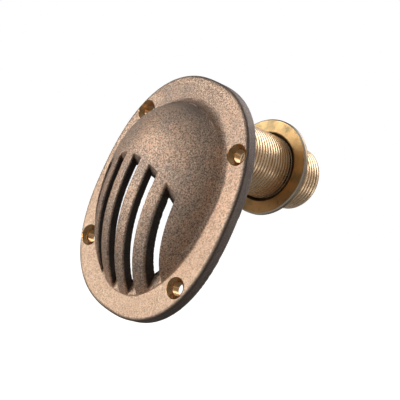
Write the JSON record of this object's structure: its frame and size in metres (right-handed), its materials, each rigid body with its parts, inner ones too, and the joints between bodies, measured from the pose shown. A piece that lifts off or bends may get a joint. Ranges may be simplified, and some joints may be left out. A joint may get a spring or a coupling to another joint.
{
  "type": "through-hull intake strainer",
  "caption": "Intake strainer: an oval flange with a slotted dome outboard, a threaded tail inboard, and a round flange nut that travels on the tail.",
  "frame": {"origin": "on the tail's axis, in the plane of the flange's back face, which seats on the hull", "axes": "+Y along the tail, inboard and away from the dome; -Z towards the slotted end of the flange; +X across the flange"},
  "size_m": [0.0874, 0.1153, 0.1211],
  "materials": {
    "cast_bronze": "sand-cast, matt",
    "machined_bronze": "turned"
  },
  "bodies": {
    "strainer": {"strainer_casting": "cast_bronze"},
    "nut": {"flange_nut": "machined_bronze"}
  },
  "joints": [
    {"name": "nut_travel", "type": "slide", "parent": "strainer", "child": "nut", "axis": [0, 1, 0], "range_m": [-0.0551, 0.02]}
  ]
}
